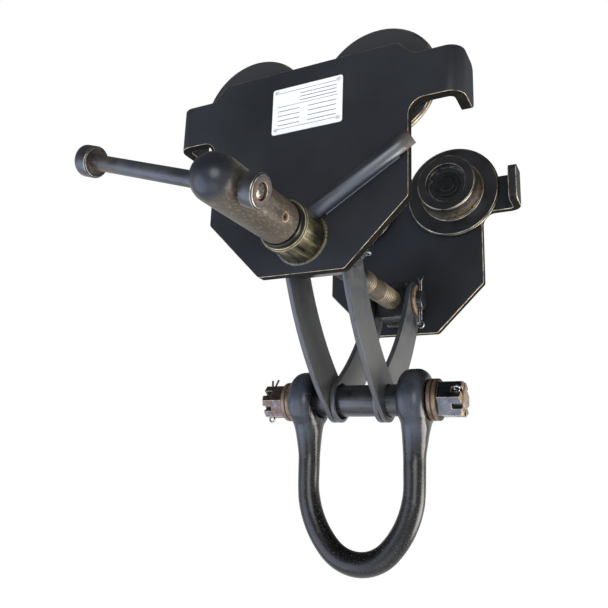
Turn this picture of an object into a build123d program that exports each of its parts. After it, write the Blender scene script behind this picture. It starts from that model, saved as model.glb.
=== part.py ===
from build123d import *
import math
import os

# Manual beam trolley: two side plates on flanged wheels hang on the lower flange of a beam and are
# drawn together by a spindle with a left-hand and a right-hand thread. Four curved links carry a shackle.
# Millimetres. +X runs along the beam, +Y from the handle side to the far side, +Z up.
# The origin is the middle of the beam's lower flange, on the plane that the wheel treads run on.

# Side plates
INNER_GAP = 225.0
PLATE_THICKNESS = 8.0
PLATE_HALF_WIDTH = 82.0
PLATE_TOP_Z = 54.0
PLATE_TOP_HALF = 74.0
PLATE_BOTTOM_Z = -115.5
PLATE_BOTTOM_HALF = 35.0
CHAMFER_Z = -68.0
TOP_CORNER_RADIUS = 5.0
LOWER_CORNER_RADIUS = 4.0

# Arms and the lips bent inwards at their ends
ARM_TOP_Z = 42.0
ARM_BOTTOM_Z = 5.5
ARM_REACH = 39.0
ARM_ROOT_STEP = 4.0
SHOULDER_RADIUS = 9.0
NOTCH_RADIUS = 12.0
LIP_LENGTH = 34.0
BEND_RADIUS = 12.0
LIP_CORNER_RADIUS = 6.0

# Wheels, bearings and stub axles, measured inwards from the inner face of the plate
WHEEL_X = 53.7
TREAD_RADIUS = 30.0
TREAD_TAPER = 0.6
FLANGE_RADIUS = 47.5
WHEEL_PLATE_GAP = 2.0
FLANGE_THICKNESS = 5.5
FLANGE_EDGE_ROUND = 1.5
TREAD_WIDTH = 24.0
WHEEL_FACE_CHAMFER = 1.0
BEARING_RADIUS = 20.0
BEARING_WIDTH = 12.0
BEARING_BORE_RADIUS = 8.5
BEARING_START = 12.5
RACE_WALL = 3.4
SHIELD_THICKNESS = 1.0
SHIELD_CLEARANCE = 0.3
CIRCLIP_THICKNESS = 1.5
CIRCLIP_GROOVE_DEPTH = 1.2
CIRCLIP_RADIAL_WIDTH = 3.6
CIRCLIP_GAP_HALF = 4.0
CIRCLIP_EAR_RADIUS = 2.2
CIRCLIP_TURN = -143.0
AXLE_PLUG_RADIUS = 10.0
AXLE_PLUG_DEPTH = 5.5
AXLE_SHOULDER_RADIUS = 11.5
WHEEL_BACK_BORE = 15.0
AXLE_WASHER_RADIUS = 12.8
AXLE_WASHER_THICKNESS = 2.2
AXLE_WASHER_STANDOFF = 0.4
AXLE_DOME_HEIGHT = 0.8

# Spindle, guide bosses and stiffening bars
SPINDLE_Z = -88.0
SPINDLE_RADIUS = 10.0
NECK_RADIUS = 9.0
NECK_START_Y = 8.0
NECK_END_Y = 36.0
NECK_TAPER = 2.0
THREAD_CLEARANCE = 0.3
BOSS_RADIUS = 19.5
BOSS_LENGTH = 28.5
REAR_BOSS_LENGTH = 16.0
BOSS_CHAMFER = 1.2
BAR_RADIUS = 6.0
BAR_SINK = 0.6
BAR_ANGLE = 32.0
BAR_OFFSET = 6.6
BAR_OVERHANG = 4.0

# Collar, hub, cross pin and tommy bar
COLLAR_RADIUS = 17.0
COLLAR_THICKNESS = 4.2
END_CLEARANCE = 0.3
HUB_RADIUS = 16.0
HUB_LENGTH = 93.9
HUB_CHAMFER = 1.0
SPINDLE_TAIL_RADIUS = 9.0
SPINDLE_TAIL_LENGTH = 46.0
HUB_PIN_RADIUS = 3.0
HUB_PIN_BORE = 1.2
HUB_PIN_SETBACK = 18.0
HUB_PIN_RECESS = 0.6
TOMMY_SETBACK = 66.9
TOMMY_TILT = 18.0
TOMMY_RADIUS = 5.5
TOMMY_CLEARANCE = 0.3
TOMMY_LENGTH = 148.0
CAP_RADIUS = 11.0
CAP_LENGTH = 11.0
CAP_CHAMFER = 1.0
CAP_RECESS = 2.0
CAP_HUB_GAP = 0.3

# Nut blocks with their trunnions
BLOCK_DEPTH = 40.0
BLOCK_HALF_HEIGHT = 17.0
BLOCK_CHAMFER = 2.0
TRUNNION_DEPTH = 28.0
TRUNNION_RADIUS = 9.0
TRUNNION_CHAMFER = 0.6
TRUNNION_TAIL = 5.0
TRUNNION_WASHER_RADIUS = 15.0
TRUNNION_WASHER_THICKNESS = 3.0
COTTER_RADIUS = 1.6
COTTER_CLEARANCE = 0.2
COTTER_EYE_RADIUS = 3.2
COTTER_EYE_THICKNESS = 2.6
TRUNNION_COTTER_REACH = 21.0
FRONT_COTTER_TURN = -90.0
REAR_COTTER_TURN = 180.0

# Links
LINK_THICKNESS = 4.4
LINK_WIDTH = 36.4
LINK_SAGITTA = 10.0
LINK_SIDE_GAP = 0.3
LINK_PAIR_X = 21.35
PIVOT_CLEARANCE = 0.3
OPEN_EYE_CLEARANCE = 2.0

# Shackle
SHACKLE_DROP = 106.5
BOLT_RADIUS = 13.3
BOLT_THREAD_RADIUS = 9.0
BOLT_END_CHAMFER = 1.5
LEG_WIRE_RADIUS = 9.0
CROWN_WIRE_RADIUS = 10.0
BOW_LEG_X = 47.0
BOW_DEPTH = 131.0
BOW_SIDE_RADIUS = 75.0
BOW_CROWN_RADIUS = 36.0
EAR_INNER_X = 37.0
EAR_THICKNESS = 23.5
EAR_RADIUS = 25.5
EAR_ROUND = 9.0
NECK_TOP_HALF_DEPTH = 16.0
NECK_TOP_DROP = 14.0
NECK_BOTTOM_DROP = 46.0
WASHER_RADIUS = 17.0
WASHER_THICKNESS = 4.2
WASHER_COUNT = 2
NUT_ACROSS_FLATS = 27.0
NUT_HEX_LENGTH = 13.0
NUT_CASTLE_LENGTH = 6.5
NUT_CASTLE_RADIUS = 12.8
NUT_SLOT_WIDTH = 4.6
NUT_CHAMFER = 1.2
BOLT_PROUD = 1.0
NUT_COTTER_REACH = 15.0
LEFT_NUT_COTTER_TURN = 180.0
RIGHT_NUT_COTTER_TURN = 60.0

# Nameplate
NAMEPLATE_LEFT_X = -29.0
NAMEPLATE_WIDTH = 60.0
NAMEPLATE_BOTTOM_Z = -0.7
NAMEPLATE_HEIGHT = 39.0
NAMEPLATE_THICKNESS = 0.8
NAMEPLATE_CORNER = 2.0
RIVET_INSET = 3.4
RIVET_HEAD_RADIUS = 1.6
RIVET_HEAD_HEIGHT = 0.8
RIVET_SHANK_RADIUS = 0.9
RIVET_SHANK_LENGTH = 3.0

# Places worked out from the sizes above, all for the handle side
lip_outer_x = PLATE_HALF_WIDTH + ARM_REACH
arm_root_x = PLATE_HALF_WIDTH + ARM_ROOT_STEP
inner_y = -INNER_GAP / 2
outer_y = inner_y - PLATE_THICKNESS
wheel_z = TREAD_RADIUS
flange_inner = WHEEL_PLATE_GAP + FLANGE_THICKNESS
wheel_face = flange_inner + TREAD_WIDTH
bearing_end = BEARING_START + BEARING_WIDTH
spindle_bore = SPINDLE_RADIUS + THREAD_CLEARANCE
boss_end_y = outer_y - BOSS_LENGTH
collar_y = boss_end_y - END_CLEARANCE
hub_y = collar_y - COLLAR_THICKNESS - END_CLEARANCE
tommy_y = hub_y - TOMMY_SETBACK
hub_pin_y = hub_y - HUB_PIN_SETBACK
trunnion_y = inner_y + TRUNNION_DEPTH
bolt_z = SPINDLE_Z - SHACKLE_DROP
front_link_x = LINK_PAIR_X + LINK_SIDE_GAP / 2
rear_link_x = LINK_PAIR_X - LINK_SIDE_GAP / 2 - LINK_THICKNESS
ear_outer_x = EAR_INNER_X + EAR_THICKNESS
washer_x = ear_outer_x + END_CLEARANCE
nut_x = washer_x + WASHER_COUNT * WASHER_THICKNESS
nut_end_x = nut_x + NUT_HEX_LENGTH + NUT_CASTLE_LENGTH
slot_x = nut_x + NUT_HEX_LENGTH + NUT_CASTLE_LENGTH / 2
cotter_hole = COTTER_RADIUS + COTTER_CLEARANCE
nut_cotter_places = ((-slot_x, LEFT_NUT_COTTER_TURN), (slot_x, RIGHT_NUT_COTTER_TURN))

FACING_HANDLE = Vector(0, -1, 0)
HANDLE_SIDE = Rot(0, 0, 0)
FAR_SIDE = Rot(0, 0, 180)


def upright(y):
    """The plane across the beam at y, with its own x along X and its own y along Z."""
    return Plane(origin=(0, y, 0), x_dir=(1, 0, 0), z_dir=FACING_HANDLE)


def along_y(shape, x, y, z):
    """A shape turned about its own Y axis, moved so that this axis runs through x and z from y."""
    return Pos(x, y, z) * shape


def rod(radius, start, end):
    """A round bar from one point to another."""
    reach = Vector(*end) - Vector(*start)
    return extrude(Plane(origin=start, z_dir=reach) * Circle(radius), reach.length)


def spun(points):
    """A closed outline of (radius, distance) points turned about the Y axis."""
    return revolve(make_face(Polyline(*points, close=True)), Axis.Y)


def corner(sketch, x, y):
    """The vertex of a flat outline nearest to x, y."""
    return sketch.vertices().sort_by_distance((x, y, 0))[0]


# Side plate: flat body with arms, plus the bent lips, a spindle hole and blind seats for the axles
def side_plate():
    bend_x = lip_outer_x - BEND_RADIUS
    right = [
        (PLATE_TOP_HALF, PLATE_TOP_Z),
        (arm_root_x, ARM_TOP_Z),
        (bend_x, ARM_TOP_Z),
        (bend_x, ARM_BOTTOM_Z),
        (PLATE_HALF_WIDTH, ARM_BOTTOM_Z),
        (PLATE_HALF_WIDTH, CHAMFER_Z),
        (PLATE_BOTTOM_HALF, PLATE_BOTTOM_Z),
    ]
    left = [(-x, z) for x, z in reversed(right)]
    outline = make_face(Polyline(*right, *left, close=True))
    rounds = (
        (right[0], TOP_CORNER_RADIUS),
        (right[1], SHOULDER_RADIUS),
        (right[4], NOTCH_RADIUS),
        (right[5], LOWER_CORNER_RADIUS),
        (right[6], LOWER_CORNER_RADIUS),
    )
    for (x, z), radius in rounds:
        outline = fillet([corner(outline, x, z), corner(outline, -x, z)], radius)
    plate = extrude(upright(inner_y) * outline, PLATE_THICKNESS)
    for side in (-1, 1):
        plate += lip(side, bend_x)
    plate -= rod(spindle_bore, (0, outer_y, SPINDLE_Z), (0, inner_y, SPINDLE_Z))
    for side in (-1, 1):
        seat = (side * WHEEL_X, inner_y, wheel_z)
        plate -= rod(AXLE_PLUG_RADIUS, (seat[0], inner_y - AXLE_PLUG_DEPTH, wheel_z), seat)
    return plate


def lip(side, bend_x):
    """One end of an arm, bent inwards round the edge of the beam's flange."""
    inner_radius = BEND_RADIUS - PLATE_THICKNESS
    centre = (bend_x, outer_y + BEND_RADIUS)
    end_y = outer_y + LIP_LENGTH
    inner_x = lip_outer_x - PLATE_THICKNESS
    outside = CenterArc(centre, BEND_RADIUS, -90, 90)
    inside = CenterArc(centre, inner_radius, -90, 90)
    edges = [
        outside,
        Line(outside @ 1, (lip_outer_x, end_y)),
        Line((lip_outer_x, end_y), (inner_x, end_y)),
        Line((inner_x, end_y), inside @ 1),
        inside,
        Line(inside @ 0, outside @ 0),
    ]
    bent = extrude(Pos(0, 0, ARM_BOTTOM_Z) * make_face(edges), ARM_TOP_Z - ARM_BOTTOM_Z)
    tips = bent.edges().filter_by(Axis.X).group_by(Axis.Y)[-1]
    bent = fillet(tips, LIP_CORNER_RADIUS)
    return bent if side > 0 else mirror(bent, Plane.YZ)


def guide_boss(length):
    end_y = outer_y - length
    tube = rod(BOSS_RADIUS, (0, outer_y, SPINDLE_Z), (0, end_y, SPINDLE_Z))
    tube = chamfer(tube.edges().sort_by(Axis.Y)[0], BOSS_CHAMFER)
    return tube - rod(spindle_bore, (0, outer_y, SPINDLE_Z), (0, end_y, SPINDLE_Z))


def stiffening_bar(side):
    """Round bar lying on the plate from the boss to just past the plate's edge, flattened where it is welded."""
    angle = math.radians(BAR_ANGLE)
    y = outer_y - BAR_RADIUS + BAR_SINK
    start_z = SPINDLE_Z + BAR_OFFSET / math.cos(angle)
    end_x = PLATE_HALF_WIDTH + BAR_OVERHANG
    bar = rod(BAR_RADIUS, (0, y, start_z), (side * end_x, y, start_z + end_x * math.tan(angle)))
    bar -= rod(BOSS_RADIUS, (0, outer_y, SPINDLE_Z), (0, outer_y - 2 * BOSS_LENGTH, SPINDLE_Z))
    keep = Pos(0, outer_y, SPINDLE_Z) * Box(
        4 * PLATE_HALF_WIDTH, 4 * BAR_RADIUS, 4 * PLATE_HALF_WIDTH, align=(Align.CENTER, Align.MAX, Align.CENTER)
    )
    return max((bar & keep).solids(), key=lambda s: s.volume)


# Wheel on its bearing, circlip, stub axle and retaining washer
def wheel():
    groove = BEARING_RADIUS + CIRCLIP_GROOVE_DEPTH
    tread_root = TREAD_RADIUS + TREAD_TAPER
    tread_face = TREAD_RADIUS - TREAD_TAPER
    return spun([
        (WHEEL_BACK_BORE, WHEEL_PLATE_GAP),
        (FLANGE_RADIUS - FLANGE_EDGE_ROUND, WHEEL_PLATE_GAP),
        (FLANGE_RADIUS, WHEEL_PLATE_GAP + FLANGE_EDGE_ROUND),
        (FLANGE_RADIUS, flange_inner - FLANGE_EDGE_ROUND),
        (FLANGE_RADIUS - FLANGE_EDGE_ROUND, flange_inner),
        (tread_root + FLANGE_EDGE_ROUND, flange_inner),
        (tread_root, flange_inner + FLANGE_EDGE_ROUND),
        (tread_face, wheel_face - WHEEL_FACE_CHAMFER),
        (tread_face - WHEEL_FACE_CHAMFER, wheel_face),
        (BEARING_RADIUS, wheel_face),
        (BEARING_RADIUS, bearing_end + CIRCLIP_THICKNESS),
        (groove, bearing_end + CIRCLIP_THICKNESS),
        (groove, bearing_end),
        (BEARING_RADIUS, bearing_end),
        (BEARING_RADIUS, BEARING_START),
        (WHEEL_BACK_BORE, BEARING_START),
    ])


def outer_race():
    """Outer race with its two shields, which stop just short of the inner race."""
    wall = BEARING_RADIUS - RACE_WALL
    shield = BEARING_BORE_RADIUS + RACE_WALL + SHIELD_CLEARANCE
    first = BEARING_START + SHIELD_THICKNESS
    last = bearing_end - SHIELD_THICKNESS
    return spun([
        (BEARING_RADIUS, BEARING_START),
        (BEARING_RADIUS, bearing_end),
        (shield, bearing_end),
        (shield, last),
        (wall, last),
        (wall, first),
        (shield, first),
        (shield, BEARING_START),
    ])


def inner_race():
    return spun([
        (BEARING_BORE_RADIUS, BEARING_START),
        (BEARING_BORE_RADIUS + RACE_WALL, BEARING_START),
        (BEARING_BORE_RADIUS + RACE_WALL, bearing_end),
        (BEARING_BORE_RADIUS, bearing_end),
    ])


def circlip():
    """Internal circlip: a split ring in the wheel's groove, with an ear each side of the split."""
    groove = BEARING_RADIUS + CIRCLIP_GROOVE_DEPTH
    middle = groove - CIRCLIP_RADIAL_WIDTH
    ring = Circle(groove) - Circle(groove - CIRCLIP_RADIAL_WIDTH)
    ring -= Pos(-groove, 0) * Rectangle(2 * groove, 2 * CIRCLIP_GAP_HALF)
    for side in (-1, 1):
        lift = side * (CIRCLIP_GAP_HALF + CIRCLIP_EAR_RADIUS)
        ear = Pos(-math.sqrt(middle ** 2 - lift ** 2), lift)
        ring += ear * Circle(CIRCLIP_EAR_RADIUS)
        ring -= ear * Circle(CIRCLIP_EAR_RADIUS / 2)
    ring = Rot(0, 0, CIRCLIP_TURN) * ring
    return extrude(upright(bearing_end + CIRCLIP_THICKNESS) * ring, CIRCLIP_THICKNESS)


def axle():
    """Stub axle plugged into the plate, with the shoulder that spaces the bearing and a peened end."""
    washer_end = bearing_end + AXLE_WASHER_STANDOFF + AXLE_WASHER_THICKNESS
    return spun([
        (0, -AXLE_PLUG_DEPTH),
        (AXLE_PLUG_RADIUS, -AXLE_PLUG_DEPTH),
        (AXLE_PLUG_RADIUS, 0),
        (AXLE_SHOULDER_RADIUS, 0),
        (AXLE_SHOULDER_RADIUS, BEARING_START),
        (BEARING_BORE_RADIUS, BEARING_START),
        (BEARING_BORE_RADIUS, washer_end),
        (BEARING_BORE_RADIUS - AXLE_DOME_HEIGHT, washer_end + AXLE_DOME_HEIGHT),
        (0, washer_end + AXLE_DOME_HEIGHT),
    ])


def axle_washer():
    """Dished washer that holds the inner race on the axle, clear of the turning shield."""
    near = bearing_end
    lifted = near + AXLE_WASHER_STANDOFF
    far = lifted + AXLE_WASHER_THICKNESS
    seat = BEARING_BORE_RADIUS + RACE_WALL / 2
    return spun([
        (BEARING_BORE_RADIUS, near),
        (seat, near),
        (seat, lifted),
        (AXLE_WASHER_RADIUS, lifted),
        (AXLE_WASHER_RADIUS, far - AXLE_WASHER_STANDOFF),
        (AXLE_WASHER_RADIUS - AXLE_WASHER_STANDOFF, far),
        (BEARING_BORE_RADIUS, far),
    ])


# Spindle, collar, hub and tommy bar
def spindle():
    front_end = hub_y - SPINDLE_TAIL_LENGTH
    rear_end = REAR_BOSS_LENGTH - outer_y
    taper = SPINDLE_RADIUS - NECK_RADIUS
    turned = spun([
        (0, front_end),
        (SPINDLE_TAIL_RADIUS, front_end),
        (SPINDLE_TAIL_RADIUS, hub_y),
        (SPINDLE_RADIUS, hub_y),
        (SPINDLE_RADIUS, NECK_START_Y),
        (NECK_RADIUS, NECK_START_Y + NECK_TAPER),
        (NECK_RADIUS, NECK_END_Y - NECK_TAPER),
        (SPINDLE_RADIUS, NECK_END_Y),
        (SPINDLE_RADIUS, rear_end - taper),
        (NECK_RADIUS, rear_end),
        (0, rear_end),
    ])
    turned = along_y(turned, 0, 0, SPINDLE_Z)
    return turned - cross_bar(HUB_PIN_RADIUS, hub_pin_y, -HUB_RADIUS, HUB_RADIUS)


def tilt(distance, y):
    """A point along the tommy bar's direction, measured from the spindle axis towards the low end."""
    angle = math.radians(TOMMY_TILT)
    return (distance * math.cos(angle), y, SPINDLE_Z - distance * math.sin(angle))


def cross_bar(radius, y, start, end):
    return rod(radius, tilt(start, y), tilt(end, y))


def collar():
    ring = Circle(COLLAR_RADIUS) - Circle(spindle_bore)
    return along_y(extrude(upright(0) * ring, COLLAR_THICKNESS), 0, collar_y, SPINDLE_Z)


def hub():
    """Round hub with a domed end, bored for the spindle, the cross pin and the tommy bar."""
    dome_y = hub_y - HUB_LENGTH + HUB_RADIUS
    tip = math.sqrt(0.5) * HUB_RADIUS
    body = make_face([
        Line((0, hub_y), (HUB_RADIUS - HUB_CHAMFER, hub_y)),
        Line((HUB_RADIUS - HUB_CHAMFER, hub_y), (HUB_RADIUS, hub_y - HUB_CHAMFER)),
        Line((HUB_RADIUS, hub_y - HUB_CHAMFER), (HUB_RADIUS, dome_y)),
        ThreePointArc((HUB_RADIUS, dome_y), (tip, dome_y - tip), (0, dome_y - HUB_RADIUS)),
        Line((0, dome_y - HUB_RADIUS), (0, hub_y)),
    ])
    solid = along_y(revolve(body, Axis.Y), 0, 0, SPINDLE_Z)
    solid -= rod(SPINDLE_TAIL_RADIUS, (0, hub_y - SPINDLE_TAIL_LENGTH, SPINDLE_Z), (0, hub_y, SPINDLE_Z))
    solid -= cross_bar(TOMMY_RADIUS + TOMMY_CLEARANCE, tommy_y, -2 * HUB_RADIUS, 2 * HUB_RADIUS)
    return solid - cross_bar(HUB_PIN_RADIUS, hub_pin_y, -2 * HUB_RADIUS, 2 * HUB_RADIUS)


def hub_pin():
    """Hollow spring pin through the hub and the spindle, driven just below the surface."""
    reach = HUB_RADIUS - HUB_PIN_RECESS
    return cross_bar(HUB_PIN_RADIUS, hub_pin_y, -reach, reach) - cross_bar(HUB_PIN_BORE, hub_pin_y, -reach, reach)


cap_start = HUB_RADIUS + CAP_HUB_GAP
bar_near = cap_start + CAP_LENGTH - CAP_RECESS
bar_far = bar_near - TOMMY_LENGTH


def tommy_bar():
    return cross_bar(TOMMY_RADIUS, tommy_y, bar_far, bar_near)


def bar_cap(start):
    cap = cross_bar(CAP_RADIUS, tommy_y, start, start + CAP_LENGTH)
    cap = chamfer(cap.edges().filter_by(GeomType.CIRCLE), CAP_CHAMFER)
    return cap - cross_bar(TOMMY_RADIUS, tommy_y, start, start + CAP_LENGTH)


# Nut block with trunnions, its washers and cotter pins
def cotter(reach, splay):
    """Split pin along Z: an eye at the top, a straight shank and two splayed tails."""
    ring = Circle(COTTER_EYE_RADIUS + COTTER_RADIUS) - Circle(COTTER_EYE_RADIUS - COTTER_RADIUS)
    eye = extrude(upright(0) * Pos(0, reach + COTTER_EYE_RADIUS) * ring, COTTER_EYE_THICKNESS / 2, both=True)
    pin = rod(COTTER_RADIUS, (0, 0, -reach), (0, 0, reach)) + eye
    for side in (-1, 1):
        tail = (side * splay, 0, -reach - splay)
        pin += rod(COTTER_RADIUS * 0.7, (0, 0, -reach), tail)
    return pin


def trunnion_end(link_x):
    """How far a trunnion reaches: past the link that starts at link_x, its washer and its cotter pin."""
    return link_x + LINK_THICKNESS + LINK_SIDE_GAP + TRUNNION_WASHER_THICKNESS + TRUNNION_TAIL


def cotter_places(link_x):
    place = trunnion_end(link_x) - TRUNNION_TAIL + cotter_hole + COTTER_CLEARANCE
    return -place, place


def nut_block(link_x, cotter_turn):
    """Block that fills the space between its two links, with a trunnion on each side."""
    block = Pos(0, inner_y, SPINDLE_Z) * Box(
        2 * (link_x - LINK_SIDE_GAP), BLOCK_DEPTH, 2 * BLOCK_HALF_HEIGHT, align=(Align.CENTER, Align.MIN, Align.CENTER)
    )
    face = block.faces().sort_by(Axis.Y)[-1]
    block = chamfer(face.edges(), BLOCK_CHAMFER)
    reach = trunnion_end(link_x)
    shaft = rod(TRUNNION_RADIUS, (-reach, trunnion_y, SPINDLE_Z), (reach, trunnion_y, SPINDLE_Z))
    block += chamfer(shaft.edges().filter_by(GeomType.CIRCLE), TRUNNION_CHAMFER)
    block -= rod(spindle_bore, (0, inner_y, SPINDLE_Z), (0, inner_y + 2 * BLOCK_DEPTH, SPINDLE_Z))
    drill = rod(cotter_hole, (0, 0, -2 * TRUNNION_RADIUS), (0, 0, 2 * TRUNNION_RADIUS))
    for x in cotter_places(link_x):
        block -= Pos(x, trunnion_y, SPINDLE_Z) * Rot(cotter_turn, 0, 0) * drill
    return block


def trunnion_washers(link_x):
    ring = Circle(TRUNNION_WASHER_RADIUS) - Circle(TRUNNION_RADIUS + COTTER_CLEARANCE)
    seat = Plane.YZ * Pos(trunnion_y, SPINDLE_Z) * ring
    right = Pos(link_x + LINK_THICKNESS + LINK_SIDE_GAP, 0, 0) * extrude(seat, TRUNNION_WASHER_THICKNESS)
    return [right, mirror(right, Plane.YZ)]


def trunnion_cotters(link_x, cotter_turn):
    pin = cotter(TRUNNION_COTTER_REACH, COTTER_RADIUS * 2)
    return [Pos(x, trunnion_y, SPINDLE_Z) * Rot(cotter_turn, 0, 0) * pin for x in cotter_places(link_x)]


# Curved flat link from a trunnion to the shackle bolt
def link(x, eye_clearance):
    """A link for the handle side whose inner face is at x, to one side or the other."""
    top = Vector(trunnion_y, SPINDLE_Z)
    foot = Vector(0, bolt_z)
    chord = foot - top
    outward = Vector(chord.Y, -chord.X).normalized()
    middle = (top + foot) * 0.5 + outward * LINK_SAGITTA
    outline = SlotArc(ThreePointArc(top, middle, foot), LINK_WIDTH)
    outline -= Pos(top.X, top.Y) * Circle(TRUNNION_RADIUS + PIVOT_CLEARANCE)
    outline -= Pos(foot.X, foot.Y) * Circle(BOLT_RADIUS + eye_clearance)
    right = Pos(abs(x), 0, 0) * extrude(Plane.YZ * outline, LINK_THICKNESS)
    return right if x > 0 else mirror(right, Plane.YZ)


# Shackle: bow with its ears, bolt, washers, castle nuts and cotter pins
def bow():
    crown_z = bolt_z - BOW_DEPTH + BOW_CROWN_RADIUS
    side_x = BOW_SIDE_RADIUS - BOW_LEG_X
    side_z = crown_z + math.sqrt((BOW_SIDE_RADIUS - BOW_CROWN_RADIUS) ** 2 - side_x ** 2)
    turn = math.degrees(math.atan2(side_z - crown_z, side_x))
    side = CenterArc((-side_x, side_z), BOW_SIDE_RADIUS, 0, -turn)
    crown = CenterArc((0, crown_z), BOW_CROWN_RADIUS, -turn, turn - 90)
    neck_z = bolt_z - NECK_BOTTOM_DROP
    path = upright(0) * Wire([Line((BOW_LEG_X, neck_z), side @ 0), side, crown])
    sections = [
        Plane(origin=path @ 0, z_dir=path % 0) * Circle(LEG_WIRE_RADIUS),
        Plane(origin=path @ 1, z_dir=path % 1) * Circle(CROWN_WIRE_RADIUS),
    ]
    half = sweep(sections, path=path, multisection=True)
    ear = rod(EAR_RADIUS, (EAR_INNER_X, 0, bolt_z), (ear_outer_x, 0, bolt_z))
    ear = fillet(ear.edges().filter_by(GeomType.CIRCLE), EAR_ROUND)
    ear_half = EAR_THICKNESS / 2
    shoulder = loft([
        Pos(BOW_LEG_X, 0, neck_z) * Circle(LEG_WIRE_RADIUS),
        Pos(EAR_INNER_X + ear_half, 0, bolt_z - NECK_TOP_DROP) * Ellipse(ear_half, NECK_TOP_HALF_DEPTH),
    ])
    half = half + shoulder + ear
    half -= rod(BOLT_RADIUS + PIVOT_CLEARANCE, (0, 0, bolt_z), (2 * ear_outer_x, 0, bolt_z))
    return half + FAR_SIDE * half


def shackle_bolt():
    end_x = nut_end_x + BOLT_PROUD
    shank = rod(BOLT_RADIUS, (-washer_x, 0, bolt_z), (washer_x, 0, bolt_z))
    thread = rod(BOLT_THREAD_RADIUS, (-end_x, 0, bolt_z), (end_x, 0, bolt_z))
    thread = chamfer(thread.edges().filter_by(GeomType.CIRCLE), BOLT_END_CHAMFER)
    bolt = shank + thread
    drill = rod(cotter_hole, (0, 0, -BOLT_RADIUS), (0, 0, BOLT_RADIUS))
    for x, turn in nut_cotter_places:
        bolt -= Pos(x, 0, bolt_z) * Rot(turn, 0, 0) * drill
    return bolt


def bolt_washers():
    ring = Circle(WASHER_RADIUS) - Circle(BOLT_THREAD_RADIUS)
    seat = Plane.YZ * Pos(0, bolt_z) * ring
    made = []
    for n in range(WASHER_COUNT):
        right = Pos(washer_x + n * WASHER_THICKNESS, 0, 0) * extrude(seat, WASHER_THICKNESS)
        made += [right, mirror(right, Plane.YZ)]
    return made


def castle_nut():
    """Hexagon with a round castle end that is cut by three slots across."""
    seat = Plane(origin=(nut_x, 0, bolt_z), x_dir=(0, 1, 0), z_dir=(1, 0, 0))
    hexagon = extrude(seat * RegularPolygon(NUT_ACROSS_FLATS / 2, 6, major_radius=False), NUT_HEX_LENGTH)
    corner_radius = NUT_ACROSS_FLATS / math.sqrt(3)
    dome = rod(corner_radius, (nut_x, 0, bolt_z), (nut_x + NUT_HEX_LENGTH, 0, bolt_z))
    hexagon &= chamfer(dome.edges().filter_by(GeomType.CIRCLE), NUT_CHAMFER)
    nut = hexagon + rod(NUT_CASTLE_RADIUS, (nut_x + NUT_HEX_LENGTH, 0, bolt_z), (nut_end_x, 0, bolt_z))
    for turn in (0, 60, 120):
        slot = Box(NUT_CASTLE_LENGTH, NUT_SLOT_WIDTH, 4 * NUT_CASTLE_RADIUS)
        nut -= Pos(slot_x, 0, bolt_z) * Rot(turn, 0, 0) * slot
    return nut - rod(BOLT_THREAD_RADIUS, (nut_x, 0, bolt_z), (nut_end_x, 0, bolt_z))


def nut_cotters():
    pin = cotter(NUT_COTTER_REACH, COTTER_RADIUS * 2)
    return [Pos(x, 0, bolt_z) * Rot(turn, 0, 0) * Rot(0, 0, 90) * pin for x, turn in nut_cotter_places]


# Nameplate and its rivets on the handle side's outer face
def nameplate():
    middle_x = NAMEPLATE_LEFT_X + NAMEPLATE_WIDTH / 2
    middle_z = NAMEPLATE_BOTTOM_Z + NAMEPLATE_HEIGHT / 2
    sheet = Pos(middle_x, middle_z) * RectangleRounded(NAMEPLATE_WIDTH, NAMEPLATE_HEIGHT, NAMEPLATE_CORNER)
    plate = extrude(upright(outer_y) * sheet, NAMEPLATE_THICKNESS)
    for x, z in rivet_places():
        plate -= rod(RIVET_SHANK_RADIUS, (x, outer_y, z), (x, outer_y - NAMEPLATE_THICKNESS, z))
    return plate


def rivet_places():
    right_x = NAMEPLATE_LEFT_X + NAMEPLATE_WIDTH
    top_z = NAMEPLATE_BOTTOM_Z + NAMEPLATE_HEIGHT
    return [
        (x, z)
        for x in (NAMEPLATE_LEFT_X + RIVET_INSET, right_x - RIVET_INSET)
        for z in (NAMEPLATE_BOTTOM_Z + RIVET_INSET, top_z - RIVET_INSET)
    ]


def rivets():
    face_y = outer_y - NAMEPLATE_THICKNESS
    made = []
    for x, z in rivet_places():
        head = rod(RIVET_HEAD_RADIUS, (x, face_y, z), (x, face_y - RIVET_HEAD_HEIGHT, z))
        made.append(head + rod(RIVET_SHANK_RADIUS, (x, face_y, z), (x, outer_y + RIVET_SHANK_LENGTH, z)))
    return made


def drill_for_rivets(plate):
    for x, z in rivet_places():
        plate -= rod(RIVET_SHANK_RADIUS, (x, outer_y, z), (x, outer_y + RIVET_SHANK_LENGTH, z))
    return plate


# Assembly: the far side is the handle side turned half round about the vertical
pieces = {}
plain_plate = side_plate()
pieces["front_side_plate"] = drill_for_rivets(plain_plate)
pieces["rear_side_plate"] = FAR_SIDE * plain_plate
pieces["left_stiffening_bar"] = stiffening_bar(-1)
pieces["right_stiffening_bar"] = stiffening_bar(1)
pieces["nameplate"] = nameplate()
pieces["nameplate_rivets"] = Compound(rivets())

ends = (
    ("front", HANDLE_SIDE, BOSS_LENGTH, front_link_x, FRONT_COTTER_TURN),
    ("rear", FAR_SIDE, REAR_BOSS_LENGTH, rear_link_x, REAR_COTTER_TURN),
)
for end, place, boss_length, link_x, turn in ends:
    pieces[end + "_guide_boss"] = place * guide_boss(boss_length)
    pieces[end + "_nut_block"] = place * nut_block(link_x, turn)
    pieces[end + "_trunnion_washers"] = place * Compound(trunnion_washers(link_x))
    pieces[end + "_trunnion_cotters"] = place * Compound(trunnion_cotters(link_x, turn))

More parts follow.
